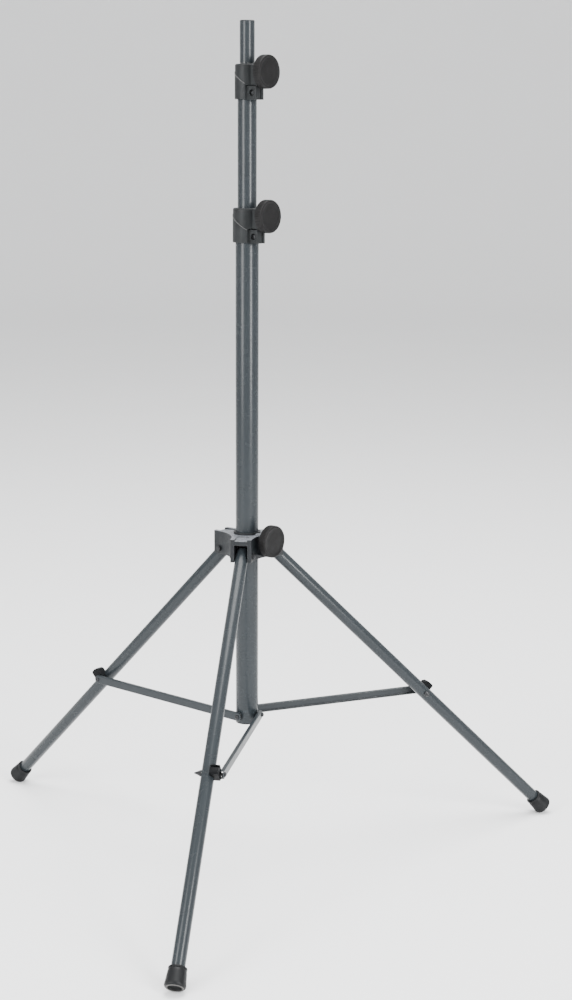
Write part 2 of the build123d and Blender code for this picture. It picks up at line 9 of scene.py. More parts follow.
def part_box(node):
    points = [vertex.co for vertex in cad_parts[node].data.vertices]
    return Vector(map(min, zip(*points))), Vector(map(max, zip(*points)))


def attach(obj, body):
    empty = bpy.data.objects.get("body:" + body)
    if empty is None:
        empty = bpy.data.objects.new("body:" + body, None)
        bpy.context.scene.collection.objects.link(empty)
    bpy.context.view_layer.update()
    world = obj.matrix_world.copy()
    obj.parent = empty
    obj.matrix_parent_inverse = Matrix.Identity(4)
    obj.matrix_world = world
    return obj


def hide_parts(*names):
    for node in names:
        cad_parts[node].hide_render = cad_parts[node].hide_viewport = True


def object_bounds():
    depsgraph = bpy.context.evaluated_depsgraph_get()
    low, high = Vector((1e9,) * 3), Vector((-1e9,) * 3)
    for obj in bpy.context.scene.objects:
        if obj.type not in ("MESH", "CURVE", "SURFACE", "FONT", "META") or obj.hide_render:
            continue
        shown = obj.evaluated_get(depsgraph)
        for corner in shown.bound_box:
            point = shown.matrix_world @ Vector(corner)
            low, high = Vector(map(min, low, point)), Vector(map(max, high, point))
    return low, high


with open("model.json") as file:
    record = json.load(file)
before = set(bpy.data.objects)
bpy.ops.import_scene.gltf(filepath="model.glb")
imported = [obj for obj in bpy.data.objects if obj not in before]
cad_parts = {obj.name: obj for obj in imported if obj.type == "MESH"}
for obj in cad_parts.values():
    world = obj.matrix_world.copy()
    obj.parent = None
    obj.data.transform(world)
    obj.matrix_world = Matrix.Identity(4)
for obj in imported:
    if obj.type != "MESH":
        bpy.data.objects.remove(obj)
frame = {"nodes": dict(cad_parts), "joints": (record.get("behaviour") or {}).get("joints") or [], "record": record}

# Looks for a folding tripod stand. Metres, in the CAD model's frame: +Z up, the origin on the mast's
# axis at floor level. Sizes and places are read from the CAD nodes and joints.

MM = 0.001
NODES = frame["nodes"]
JOINTS = {joint["name"]: joint for joint in frame["joints"]}
COUPLINGS = {c["joint"]: c for c in frame["record"]["behaviour"]["couplings"]}
BODY_OF = {node: body for body, nodes in frame["record"]["behaviour"]["bodies"].items() for node in nodes}
SLOT_OF = {part["node"]: part["material_slot"] for part in frame["record"]["subparts"]}
LEGS = ("front", "right", "left")
CLAMPS = ("lower", "upper", "hub")
CAD_LOW, CAD_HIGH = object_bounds()

# ---- Finishes ----
# Linear colours.

TUBE_GREY = (0.0170, 0.0210, 0.0240)
CAST_GREY = (0.0065, 0.0080, 0.0095)
PLASTIC_BLACK = (0.0125, 0.0138, 0.0145)
KNOB_BLACK = (0.0040, 0.0038, 0.0040)
RUBBER_BLACK = (0.0030, 0.0034, 0.0040)
STEEL_GREY = (0.46, 0.46, 0.45)
DARK_STEEL = (0.022, 0.023, 0.025)
BRASS = (0.60, 0.43, 0.19)
SHOE_GREY = (0.42, 0.42, 0.40)
# Painted highlight: the collars' mould line, much lighter than their plastic.
SEAM_HIGHLIGHT_GREY = (0.09, 0.09, 0.09)
# Painted sheen on the hub's upward faces.
HUB_TOP_SHEEN_GREY = (0.26, 0.275, 0.30)
# Painted highlight: the ring round each boot's sole, lit by the bright floor.
SOLE_HIGHLIGHT_GREY = (0.085, 0.083, 0.080)
# Lightens the boots' rubber toward the floor: dusty grain, and in part a painted highlight of the floor-lit rim.
DUST_AND_SHEEN_GREY = (0.16, 0.15, 0.14)
FLOOR_DARK = (0.86, 0.865, 0.87, 1)
FLOOR_LIGHT = (0.88, 0.885, 0.89, 1)
FLOOR_ROUGHNESS = 0.9

COAT_SPECULAR = 0.26
PLASTIC_SPECULAR = 0.16
CLIP_SPECULAR = 0.08
RUBBER_SPECULAR = 0.20

# Noise between these levels makes the soft patches.
CLOUD_LOW = 0.3
CLOUD_HIGH = 0.7
# The cosine between a rounded and a flat normal, away from an edge and on one.
FLAT_COSINE = 0.995
EDGE_COSINE = 0.88
EDGE_SAMPLES = 6
# The height range over which a foot's rubber is lightened, from clean to full: dusty grain, and a painted
# highlight of the lowest rim where the bright floor lights it.
DUST_AND_SHEEN_TOP = 22 * MM
DUST_AND_SHEEN_FULL = 2 * MM


class Shader:
    """A material under construction: its node tree, with short ways to add and join nodes."""

    def __init__(self, name):
        self.material = bpy.data.materials.new(name)
        self.material.use_nodes = True
        tree = self.material.node_tree
        self.nodes = tree.nodes
        self.links = tree.links
        self.bsdf = self.nodes["Principled BSDF"]
        texture_coordinates = self.add("ShaderNodeTexCoord")
        self.coords = texture_coordinates.outputs["Object"]
        self.normals = texture_coordinates.outputs["Normal"]

    def add(self, kind, **settings):
        node = self.nodes.new(kind)
        for key, value in settings.items():
            setattr(node, key, value)
        return node

    def feed(self, socket, source):
        """Joins a source to a socket, or sets the socket when the source is a plain value."""
        if isinstance(source, bpy.types.NodeSocket):
            self.links.new(source, socket)
        else:
            socket.default_value = source

    def stretched(self, scale):
        """Object coordinates stretched along each axis."""
        mapping = self.add("ShaderNodeMapping")
        self.feed(mapping.inputs["Vector"], self.coords)
        mapping.inputs["Scale"].default_value = scale
        return mapping.outputs["Vector"]
    def noise(self, size, detail=3.0, vector=None, roughness=0.5):
        """Noise whose features are about size metres across."""
        node = self.add("ShaderNodeTexNoise")
        self.feed(node.inputs["Vector"], vector or self.coords)
        node.inputs["Scale"].default_value = 1.0 / size
        node.inputs["Detail"].default_value = detail
        node.inputs["Roughness"].default_value = roughness
        return node.outputs["Fac"]

    def ramp(self, source, low, high, bottom=0.0, top=1.0):
        """source from low..high mapped to bottom..top, and clamped."""
        node = self.add("ShaderNodeMapRange")
        self.feed(node.inputs["Value"], source)
        for key, value in (("From Min", low), ("From Max", high), ("To Min", bottom), ("To Max", top)):
            node.inputs[key].default_value = value
        return node.outputs["Result"]

    def math(self, operation, a, b=0.0):
        node = self.add("ShaderNodeMath", operation=operation)
        self.feed(node.inputs[0], a)
        self.feed(node.inputs[1], b)
        return node.outputs["Value"]

    def mix(self, factor, a, b):
        """Colour a where factor is 0 and colour b where it is 1."""
        node = self.add("ShaderNodeMix", data_type="RGBA")
        self.feed(node.inputs["Factor"], factor)
        self.feed(node.inputs["A"], a)
        self.feed(node.inputs["B"], b)
        return node.outputs["Result"]

    def cloud(self, size, bottom=0.0, top=1.0, detail=4.0):
        """Soft patches about size metres across, from bottom to top."""
        return self.ramp(self.noise(size, detail), CLOUD_LOW, CLOUD_HIGH, bottom, top)

    def mottled(self, colour, size, dark, light, detail=4.0):
        """A colour that drifts between two brightnesses."""
        return self.mix(self.cloud(size, detail=detail), tint(colour, dark), tint(colour, light))

    def cover(self, base, mask, amount, colour):
        """base with a share of colour over it where mask is 1."""
        return self.mix(self.math("MULTIPLY", mask, amount), base, colour)

    def upright(self, vector):
        """The Z part of a vector."""
        node = self.add("ShaderNodeSeparateXYZ")
        self.feed(node.inputs["Vector"], vector)
        return node.outputs["Z"]

    def edges(self, radius):
        """About 1 along sharp edges and 0 elsewhere."""
        rounded = self.add("ShaderNodeBevel", samples=EDGE_SAMPLES)
        rounded.inputs["Radius"].default_value = radius
        flat = self.add("ShaderNodeNewGeometry")
        dot = self.add("ShaderNodeVectorMath", operation="DOT_PRODUCT")
        self.feed(dot.inputs[0], rounded.outputs["Normal"])
        self.feed(dot.inputs[1], flat.outputs["Normal"])
        return self.ramp(dot.outputs["Value"], FLAT_COSINE, EDGE_COSINE)

    def worn_edges(self, radius, patch, low, high, detail=3.0):
        """1 on parts of the sharp edges, in patches about patch metres across."""
        return self.math("MULTIPLY", self.edges(radius), self.ramp(self.noise(patch, detail), low, high))

    def bump(self, height, depth, under=None):
        node = self.add("ShaderNodeBump")
        node.inputs["Distance"].default_value = depth
        self.feed(node.inputs["Height"], height)
        if under:
            self.feed(node.inputs["Normal"], under)
        return node.outputs["Normal"]

    def surface(self, base, roughness, normal):
        """Joins colour, roughness and relief to the surface."""
        self.feed(self.bsdf.inputs["Base Color"], base)
        self.feed(self.bsdf.inputs["Roughness"], roughness)
        self.feed(self.bsdf.inputs["Normal"], normal)
        return self.material

    def specular(self, level):
        self.bsdf.inputs["Specular IOR Level"].default_value = level


def tint(colour, factor):
    """A colour scaled in brightness, as RGBA."""
    return tuple(min(1.0, channel * factor) for channel in colour) + (1.0,)


def powder_coat(name, colour, roughness, along):
    """Semi-gloss coat on metal: orange peel, faint mottling, rubbed streaks and worn edges."""
    s = Shader(name)
    base = s.mottled(colour, 35 * MM, 0.96, 1.05)
    streaks = s.ramp(s.noise(2.2 * MM, 5.0, s.stretched(along), 0.65), 0.62, 0.74)
    patches = s.ramp(s.noise(60 * MM, 2.0), 0.48, 0.66)
    scuffs = s.math("MULTIPLY", streaks, patches)
    base = s.cover(base, scuffs, 0.06, tint(colour, 2.0))
    worn = s.worn_edges(0.8 * MM, 3 * MM, 0.42, 0.62)
    base = s.cover(base, worn, 0.6, tint(STEEL_GREY, 0.6))
    gloss = s.ramp(s.noise(12 * MM, 4.0), 0.25, 0.75, roughness - 0.02, roughness + 0.03)
    gloss = s.math("ADD", gloss, s.math("MULTIPLY", scuffs, 0.04))
    peel = s.bump(s.noise(2.2 * MM, 2.0), 0.009 * MM)
    skin = s.bump(s.noise(0.45 * MM, 2.0), 0.008 * MM, peel)
    s.specular(COAT_SPECULAR)
    return s.surface(base, gloss, skin)


def cast_coat(name, colour, roughness):
    """Coat over a sand-textured casting: coarse grain, a painted sheen lightening the upward faces, and bright
    worn edges.
    """
    s = Shader(name)
    base = s.mottled(colour, 9 * MM, 0.82, 1.2, detail=5.0)
    speckle = s.ramp(s.noise(0.9 * MM, 3.0), 0.58, 0.72)
    base = s.cover(base, speckle, 0.35, tint(colour, 2.2))
    # Painted sheen: upward faces are lightened in patches, standing in for the top light and the bright backdrop
    # they reflect.
    facing_up = s.ramp(s.upright(s.normals), 0.6, 0.95)
    rubbed = s.math("MULTIPLY", facing_up, s.ramp(s.noise(2.0 * MM, 4.0), 0.38, 0.62, 0.15, 1.0))
    base = s.cover(base, rubbed, 0.75, tint(HUB_TOP_SHEEN_GREY, 1.0))
    worn = s.worn_edges(1.2 * MM, 2.5 * MM, 0.35, 0.6, detail=4.0)
    base = s.cover(base, worn, 0.35, tint(STEEL_GREY, 0.35))
    sheen = s.cloud(4 * MM, roughness - 0.06, roughness + 0.1)
    grain = s.bump(s.noise(1.3 * MM, 4.0, roughness=0.6), 0.22 * MM)
    waves = s.bump(s.noise(6 * MM, 2.0), 0.25 * MM, grain)
    s.specular(COAT_SPECULAR)
    return s.surface(base, sheen, waves)


def moulded_plastic(name, colour, roughness, grain=0.7 * MM, depth=0.06 * MM, gloss=PLASTIC_SPECULAR):
    """Moulded plastic: spark-eroded grain, cloudy sheen, fine scratches and paler rubbed edges."""
    s = Shader(name)
    base = s.mottled(colour, 14 * MM, 0.85, 1.25)
    scratch = s.ramp(s.noise(0.8 * MM, 3.0, s.stretched((1, 1, 0.12)), 0.7), 0.66, 0.74)
    base = s.cover(base, scratch, 0.25, tint(colour, 3.0))
    rubbed = s.worn_edges(0.7 * MM, 4 * MM, 0.35, 0.65)
    base = s.cover(base, rubbed, 0.5, tint(colour, 3.2))
    sheen = s.cloud(7 * MM, roughness - 0.07, roughness + 0.08)
    sheen = s.math("SUBTRACT", sheen, s.math("MULTIPLY", rubbed, 0.15))
    s.specular(gloss)
    return s.surface(base, sheen, s.bump(s.noise(grain, 3.0, roughness=0.6), depth))


def rubber(name, colour):
    """Moulded rubber: matt, lightened in the grain toward the floor, partly dusty and partly a painted highlight
    of the rim lit by the bright floor.
    """
    s = Shader(name)
    base = s.mottled(colour, 10 * MM, 0.8, 1.4)
    # Painted highlight in part: the lower rubber is lightened where the bright floor lights the rim; the rest is
    # dusty grain.
    low_down = s.ramp(s.upright(s.coords), DUST_AND_SHEEN_TOP, DUST_AND_SHEEN_FULL)
    dust_and_sheen = s.math("MULTIPLY", s.ramp(s.noise(1.6 * MM, 5.0, roughness=0.7), 0.5, 0.7), low_down)
    base = s.cover(base, dust_and_sheen, 0.10, tint(DUST_AND_SHEEN_GREY, 1.0))
    sheen = s.cloud(5 * MM, 0.36, 0.52)
    grain = s.bump(s.noise(0.9 * MM, 3.0), 0.07 * MM)
    waves = s.bump(s.noise(5 * MM, 2.0), 0.12 * MM, grain)
    s.specular(RUBBER_SPECULAR)
    return s.surface(base, sheen, waves)


def machined_metal(name, colour, roughness, metallic=1.0):
    """Turned or plated metal: fine tool marks and dull spots."""
    s = Shader(name)
    spots = s.ramp(s.noise(2.5 * MM, 5.0), 0.45, 0.7)
    base = s.cover(tint(colour, 1.05), spots, 0.5, tint(colour, 0.6))
    marks = s.noise(0.35 * MM, 3.0, s.stretched((1, 1, 0.2)))
    dulled = s.ramp(marks, 0.3, 0.7, roughness - 0.08, roughness + 0.14)
    s.bsdf.inputs["Metallic"].default_value = metallic
    return s.surface(base, dulled, s.bump(marks, 0.02 * MM))


def backdrop_material():
    """The pale studio floor."""
    s = Shader("floor_paint")
    s.feed(s.bsdf.inputs["Base Color"], s.mix(s.noise(0.4, 2.0), FLOOR_DARK, FLOOR_LIGHT))
    s.bsdf.inputs["Roughness"].default_value = FLOOR_ROUGHNESS
    return s.material


FINISHES = {
    "tube_paint": powder_coat("tube_coat", TUBE_GREY, 0.26, along=(1, 1, 0.06)),
    "strut_paint": powder_coat("strut_coat", TUBE_GREY, 0.34, along=(0.3, 0.3, 1)),
    "hub_paint": cast_coat("hub_coat", CAST_GREY, 0.42),
    "black_plastic": moulded_plastic(
        "collar_plastic", PLASTIC_BLACK, 0.46, grain=1.1 * MM, depth=0.10 * MM
    ),
    "knob_plastic": moulded_plastic("knob_plastic", KNOB_BLACK, 0.50),
    "clip_plastic": moulded_plastic("clip_plastic", RUBBER_BLACK, 0.48, gloss=CLIP_SPECULAR),
    "foot_rubber": rubber("foot_rubber", RUBBER_BLACK),
    "screw_steel": machined_metal("plated_steel", STEEL_GREY, 0.32),
    "dark_steel": machined_metal("dark_steel", DARK_STEEL, 0.38, metallic=0.6),
    "insert_brass": machined_metal("brass", BRASS, 0.30),
    "shoe_plastic": moulded_plastic("shoe_plastic", SHOE_GREY, 0.55),
    # The mould line's lighter colour is a painted highlight.
    "seam": moulded_plastic("seam_highlight_plastic", SEAM_HIGHLIGHT_GREY, 0.35),
    # The sole ring's lighter colour is a painted highlight.
    "sole": moulded_plastic("sole_highlight_rubber", SOLE_HIGHLIGHT_GREY, 0.60),
}


# ---- Mesh helpers ----

ON_AXIS = 1e-7
WELD = 1e-6
FLAT_DEGREES = 0.5
SMOOTH_DEGREES = 38
CRISP_DEGREES = 50
BEVEL_SEGMENTS = 3
BEVEL_DEGREES = 32


def smooth(mesh, degrees):
    """Smooth shading, with edges sharper than the angle kept sharp."""
    mesh.shade_smooth()
    mesh.set_sharp_from_angle(angle=math.radians(degrees))


def show(name, mesh, material):
    """Puts a mesh in the scene as an object with one material."""
    mesh.materials.clear()
    mesh.materials.append(material)
    piece = bpy.data.objects.new(name, mesh)
    bpy.context.scene.collection.objects.link(piece)
    return piece


def place(name, mesh, node, smooth_angle=SMOOTH_DEGREES):
    """Adds a piece that stands for a CAD node, riding on its body with its finish."""
    smooth(mesh, smooth_angle)
    piece = show(name, mesh, FINISHES[SLOT_OF[node]])
    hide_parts(node)
    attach(piece, BODY_OF[node])
    return piece


def add_detail(name, mesh, finish, node):
    """Adds a piece with no CAD node of its own, riding with a node's body."""
    detail = show(name, mesh, FINISHES[finish])
    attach(detail, BODY_OF[node])


def round_edges(piece, width):
    """Rounds a piece's sharp edges."""
    bevel = piece.modifiers.new("edges", "BEVEL")
    bevel.width = width
    bevel.segments = BEVEL_SEGMENTS
    bevel.limit_method = "ANGLE"
    bevel.angle_limit = math.radians(BEVEL_DEGREES)
    bevel.use_clamp_overlap = True
    bevel.harden_normals = True


def from_bmesh(name, bm, frame_matrix):
    """A mesh moved into its frame, with its faces turned outward."""
    bm.transform(frame_matrix)
    bmesh.ops.recalc_face_normals(bm, faces=bm.faces)
    mesh = bpy.data.meshes.new(name)
    bm.to_mesh(mesh)
    bm.free()
    return mesh


def ring_of_vertices(bm, point, steps, radius_at):
    """One ring of a turned shape, or a single vertex on the axis."""
    radius, height = point
    if radius < ON_AXIS:
        return [bm.verts.new((0, 0, height))]
    ring = []
    for k in range(steps):
        turn = 2 * math.pi * k / steps
        r = radius_at(point, turn) if radius_at else radius
        ring.append(bm.verts.new((r * math.cos(turn), r * math.sin(turn), height)))
    return ring


def lathe(name, outline, frame_matrix, steps=96, radius_at=None):
    """A shape turned about the frame's Z from (radius, height) points.

    radius_at(point, turn) may vary a ring's radius round the axis. An outline that starts on the axis
    stays as it is, and any other is closed on itself.
    """
    bm = bmesh.new()
    rings = [ring_of_vertices(bm, point, steps, radius_at) for point in outline]
    if len(rings[0]) > 1:
        rings.append(rings[0])
    for a, b in zip(rings, rings[1:]):
        for k in range(steps):
            after = (k + 1) % steps
            if len(a) == 1:
                bm.faces.new((a[0], b[k], b[after]))
            elif len(b) == 1:
                bm.faces.new((a[k], b[0], a[after]))
            else:
                bm.faces.new((a[k], b[k], b[after], a[after]))
    return from_bmesh(name, bm, frame_matrix)


def arc(centre, radius, start, end, steps=6):
    """Points of an arc in (radius, height) coordinates, between two angles in degrees."""
    points = []
    for k in range(steps + 1):
        angle = math.radians(start + (end - start) * k / steps)
        points.append((centre[0] + radius * math.cos(angle), centre[1] + radius * math.sin(angle)))
    return points


def stepped(radius, height, steps):
    """Points at steps in millimetres from one (radius, height) point."""
    return [(radius + out * MM, height + up * MM) for out, up in steps]


def reach(node, matrix):
    """Lowest and highest corner of a CAD node, measured in the frame of a matrix."""
    inverse = matrix.inverted()
    points = [inverse @ vertex.co for vertex in NODES[node].data.vertices]
    low = Vector(min(p[axis] for p in points) for axis in range(3))
    high = Vector(max(p[axis] for p in points) for axis in range(3))
    return low, high


def softened(node, width):
    """A CAD node's own shape with welded faces and rounded edges."""
    bm = bmesh.new()
    bm.from_mesh(NODES[node].data)
    bmesh.ops.remove_doubles(bm, verts=bm.verts, dist=WELD)
    flat = math.radians(FLAT_DEGREES)
    bmesh.ops.dissolve_limit(bm, angle_limit=flat, verts=bm.verts, edges=bm.edges)
    mesh = from_bmesh(node + "_look", bm, Matrix.Identity(4))
    round_edges(place(node + "_look", mesh, node), width)


# ---- Frames of reference ----


def basis(origin, across, up):
    """A frame with its Z along up and its Y along across."""
    z = up.normalized()
    y = (across - across.dot(z) * z).normalized()
    x = y.cross(z)
    matrix = Matrix((x, y, z)).transposed().to_4x4()
    matrix.translation = origin
    return matrix


def leg_frame(leg):
    """The leg's frame: its pivot, Z down the leg and Y along the pivot."""
    joint = JOINTS[leg + "_leg_fold"]
    axis = Vector(joint["axis"])
    spread = COUPLINGS[joint["name"]]["ratio"] * JOINTS["hub_slide"]["range_m"][1]
    down = Matrix.Rotation(-spread, 3, axis) @ Vector((0, 0, -1))
    return basis(Vector(joint["pos_m"]), axis, down)


def knob_frame(clamp):
    """The clamp screw's frame: on the mast's axis, with Z out along the screw."""
    joint = JOINTS[clamp + "_knob_turn"]
    return basis(Vector(joint["pos_m"]), Vector((0, 0, 1)), Vector(joint["axis"]))


# ---- Mast and legs ----

MAST_WALL = 1.5 * MM
MAST_STEPS = 128
LEG_WALL = 1.4 * MM
TUBE_ROLL = 0.5 * MM
ROLL_STEPS = 3

# The foot's outline. Steps are (radius, height) in millimetres.
FOOT_MOUTH_SHARE = 0.87
FOOT_FLOOR = 4 * MM
FOOT_LIP_R = 0.6 * MM
FOOT_LIP_INSET = 0.8 * MM
FOOT_BEAD_R = 1.2 * MM
FOOT_BEAD_HEIGHT = 2.8 * MM
FOOT_GROOVE_R = 0.55 * MM
FOOT_GROOVE_INSET = 0.2 * MM
FOOT_GROOVE_HEIGHT = 3.5 * MM
FOOT_NECK = ((-0.2, 4.6), (0.5, 9))
FOOT_FLARE = ((-0.5, -8.2), (-0.15, -6.4), (0, -5.2))
FOOT_HEEL_R = 3.5 * MM
FOOT_SOLE = ((-1.6, -0.1), (-2.6, -2.6), (-3.4, -3.1))
FOOT_HOLLOW = 3.1 * MM
SOLE_RING = ((-1.4, -0.6), (-1.3, 0), (0.2, 0.25), (1.3, -0.1), (1.2, -0.9))


def tube_outline(low, high, outer, wall):
    """A tube's section with rolled ends."""
    roll = TUBE_ROLL
    inner = outer - wall
    points = [(inner, high - roll), (inner, low + roll)]
    points += arc((inner + roll, low + roll), roll, 180, 270, ROLL_STEPS)
    points += arc((outer - roll, low + roll), roll, 270, 360, ROLL_STEPS)
    points += arc((outer - roll, high - roll), roll, 0, 90, ROLL_STEPS)
    points += arc((inner + roll, high - roll), roll, 90, 180, ROLL_STEPS)[:-1]
    return points


def mast_tube(node):
    """One of the mast's tubes."""
    low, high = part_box(node)
    outline = tube_outline(low.z, high.z, high.x, MAST_WALL)
    place(node + "_look", lathe(node + "_look", outline, Matrix.Identity(4), MAST_STEPS), node)


def leg_tube(leg):
    """One leg's tube, with the foot's end inside its boot."""
    node = leg + "_leg_tube"
    matrix = leg_frame(leg)
    low, high = reach(node, matrix)
    outline = tube_outline(low.z, high.z, high.y, LEG_WALL)
    place(node + "_look", lathe(node + "_look", outline, matrix), node)


def foot_outline(tube_r, base, top, end):
    """A boot from its inside floor, up the bore, over the mouth and down to the hollow sole."""
    mouth = base * FOOT_MOUTH_SHARE
    rim = base - FOOT_HEEL_R
    outline = [(0, end - FOOT_FLOOR), (tube_r, end - FOOT_FLOOR), (tube_r, top + FOOT_LIP_INSET)]
    outline += arc((tube_r + FOOT_LIP_R, top + FOOT_LIP_R), FOOT_LIP_R, 180, 270, 3)
    outline += arc((mouth - FOOT_BEAD_R, top + FOOT_BEAD_R), FOOT_BEAD_R, 270, 360, 4)
    outline += [(mouth, top + FOOT_BEAD_HEIGHT)]
    groove = (mouth - FOOT_GROOVE_INSET, top + FOOT_GROOVE_HEIGHT)
    outline += arc(groove, FOOT_GROOVE_R, -60, -180, 3)[1:]
    outline += stepped(mouth, top, FOOT_NECK)
    outline += stepped(base, end, FOOT_FLARE)
    outline += arc((rim, end - FOOT_HEEL_R), FOOT_HEEL_R, 0, 90, 7)
    outline += stepped(rim, end, FOOT_SOLE)
    return outline + [(0, end - FOOT_HOLLOW)]


def foot(leg):
    """A rubber boot: rolled mouth, waisted side, floor ring and a hollow in the sole."""
    node = leg + "_foot"
    matrix = leg_frame(leg)
    low, high = reach(node, matrix)
    tube_r = reach(leg + "_leg_tube", matrix)[1].y
    outline = foot_outline(tube_r, high.y, low.z, high.z)
    place(node + "_look", lathe(node + "_look", outline, matrix), node)
    sole_ring(leg, matrix, high.y - FOOT_HEEL_R, high.z)


def sole_ring(leg, matrix, rim, end):
    """The ring of a boot's sole that stands on the floor, coloured lighter than the boot as a painted highlight of
    the rim lit by the bright floor.
    """
    mesh = lathe(leg + "_sole_ring", stepped(rim, end, SOLE_RING), matrix)
    smooth(mesh, CRISP_DEGREES)
    add_detail(leg + "_sole_ring", mesh, "sole", leg + "_foot")


# ---- Clamp knobs ----

KNOB_FLUTES = 64
KNOB_FLUTE_DEPTH = 0.45 * MM
KNOB_STEPS_PER_FLUTE = 6
KNOB_BOSS_INNER_SHARE = 0.39
KNOB_BOSS_SHARE = 0.40
KNOB_BOSS_EDGE = 0.2 * MM
KNOB_BOSS_HEIGHT = 1.2 * MM
KNOB_BACK_SHARE = 0.86
KNOB_BACK_HEIGHT = 2.6 * MM
KNOB_BACK_EDGE = (-1.0, 2.8)
KNOB_SIDE_R = 1.2 * MM
KNOB_SIDE_START = 4.0 * MM
KNOB_SIDE_LEVELS = (7 * MM, 3.2 * MM)
KNOB_FACE_R = 2.2 * MM
KNOB_FACE_STEPS = ((-3.4, -0.1), (-4.4, -0.6), (-5.2, -0.9))
KNOB_DISH_SHARE = 0.55
KNOB_DISH_DEPTH = 0.75 * MM
KNOB_CENTRE_DEPTH = 0.6 * MM
KNOB_FLUTE_START = 3.5 * MM
KNOB_FLUTE_END = 1.0 * MM


def knob_outline(stud, rim, back, face):
    """A knob from its stud's end, round the stepped back and the rim to the dished face."""
    outline = [(0, stud.z), (stud.y, stud.z), (stud.y, back)]
    outline += [(rim * KNOB_BOSS_INNER_SHARE, back), (rim * KNOB_BOSS_SHARE, back + KNOB_BOSS_EDGE)]
    outline += [(rim * KNOB_BOSS_SHARE, back + KNOB_BOSS_HEIGHT)]
    outline += [(rim * KNOB_BACK_SHARE, back + KNOB_BACK_HEIGHT)]
    outline += stepped(rim, back, [KNOB_BACK_EDGE])
    outline += arc((rim - KNOB_SIDE_R, back + KNOB_SIDE_START), KNOB_SIDE_R, -60, 0, 3)
    outline += [(rim, back + KNOB_SIDE_LEVELS[0]), (rim, face - KNOB_SIDE_LEVELS[1])]
    outline += arc((rim - KNOB_FACE_R, face - KNOB_FACE_R), KNOB_FACE_R, 0, 90, 6)
    outline += stepped(rim, face, KNOB_FACE_STEPS)
    return outline + [(rim * KNOB_DISH_SHARE, face - KNOB_DISH_DEPTH), (0, face - KNOB_CENTRE_DEPTH)]


def knob(clamp):
    """A knob with a fluted rim, a dished face inside a rolled edge, and a stepped back."""
    node = clamp + "_knob"
    matrix = knob_frame(clamp)
    low, high = reach(node, matrix)
    rim, back, face = high.y, low.z, high.z
    stud = reach(clamp + "_clamp_stud", matrix)[1]

    def fluted(point, turn):
        radius, height = point
        side = back + KNOB_FLUTE_START < height < face - KNOB_FLUTE_END and radius > rim - KNOB_SIDE_R
        return radius - (KNOB_FLUTE_DEPTH * (0.5 - 0.5 * math.cos(KNOB_FLUTES * turn)) if side else 0)

    outline = knob_outline(stud, rim, back, face)
    mesh = lathe(node + "_look", outline, matrix, KNOB_FLUTES * KNOB_STEPS_PER_FLUTE, fluted)
    place(node + "_look", mesh, node, CRISP_DEGREES)


# ---- The raised mould line round each collar ----

SEAM_UP = 29.6 * MM
SEAM_SLOPE = 0.69
SEAM_R = 0.45 * MM
SEAM_STEPS = 140
SEAM_SIDES = 8
# The angle in degrees between the clamp screw and the ends of each collar's line.
SEAM_STARTS = {"lower": 51, "upper": 61}


def seam_ring(bm, ray, centre):
    """The bead's round section at one point of its path."""
    ring = []
    for j in range(SEAM_SIDES):
        angle = 2 * math.pi * j / SEAM_SIDES
        lift = Vector((0, 0, SEAM_R * math.sin(angle)))
        ring.append(bm.verts.new(centre + ray * SEAM_R * math.cos(angle) + lift))
    return ring


def seam_bead(clamp, start):
    """A fine round bead on the sloping joint of a collar's halves, from lug to lug round the back, coloured
    lighter than the collar as a painted highlight along the joint.
    """
    node = clamp + "_collar"
    screw = knob_frame(clamp)
    around = -reach(node, screw)[0].z
    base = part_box(node)[0].z
    out = screw.to_3x3() @ Vector((0, 0, 1))
    side = Vector((0, 0, 1)).cross(out)
    bm = bmesh.new()
    rings = []
    for k in range(SEAM_STEPS + 1):
        turn = math.radians(start + (360 - 2 * start) * k / SEAM_STEPS)
        ray = out * math.cos(turn) + side * math.sin(turn)
        centre = ray * around
        centre.z = base + SEAM_UP - SEAM_SLOPE * around * math.cos(turn)
        rings.append(seam_ring(bm, ray, centre))
    for a, b in zip(rings, rings[1:]):
        for j in range(SEAM_SIDES):
            after = (j + 1) % SEAM_SIDES
            bm.faces.new((a[j], a[after], b[after], b[j]))
    bm.faces.new(rings[0])
    bm.faces.new(rings[-1])
    mesh = from_bmesh(clamp + "_seam", bm, Matrix.Identity(4))
    mesh.shade_smooth()
    add_detail(clamp + "_seam", mesh, "seam", node)


# ---- Everything else keeps its CAD shape, with rounded edges ----

EDGE_WIDTHS = {
    "hub_casting": 0.9 * MM,
    "lower_collar": 0.5 * MM,
    "upper_collar": 0.5 * MM,
    "hub_liner": 0.25 * MM,
    "hub_pivot_bolts": 0.25 * MM,
    "hub_pivot_nuts": 0.3 * MM,
    "strut_screws": 0.15 * MM,
    "strut_spacers": 0.2 * MM,
    "low_tube_plug": 0.3 * MM,
    "top_tube": 0.3 * MM,
    "top_tube_plug": 0.3 * MM,
    "mid_tube_bush": 0.3 * MM,
    "top_tube_bush": 0.3 * MM,
}
LEG_EDGE_WIDTHS = {
    "leg_plug": 0.2 * MM,
    "cable_clip": 0.6 * MM,
    "strut_bolt": 0.2 * MM,
    "strut_bolt_cap": 0.2 * MM,
    "strut": 0.3 * MM,
    "strut_head": 0.15 * MM,
}
CLAMP_EDGE_WIDTHS = {"clamp_insert": 0.2 * MM, "clamp_shoe": 0.2 * MM, "clamp_stud": 0.2 * MM}
PINCH_EDGE_WIDTHS = {"pinch_bolt": 0.12 * MM, "pinch_nut": 0.2 * MM}

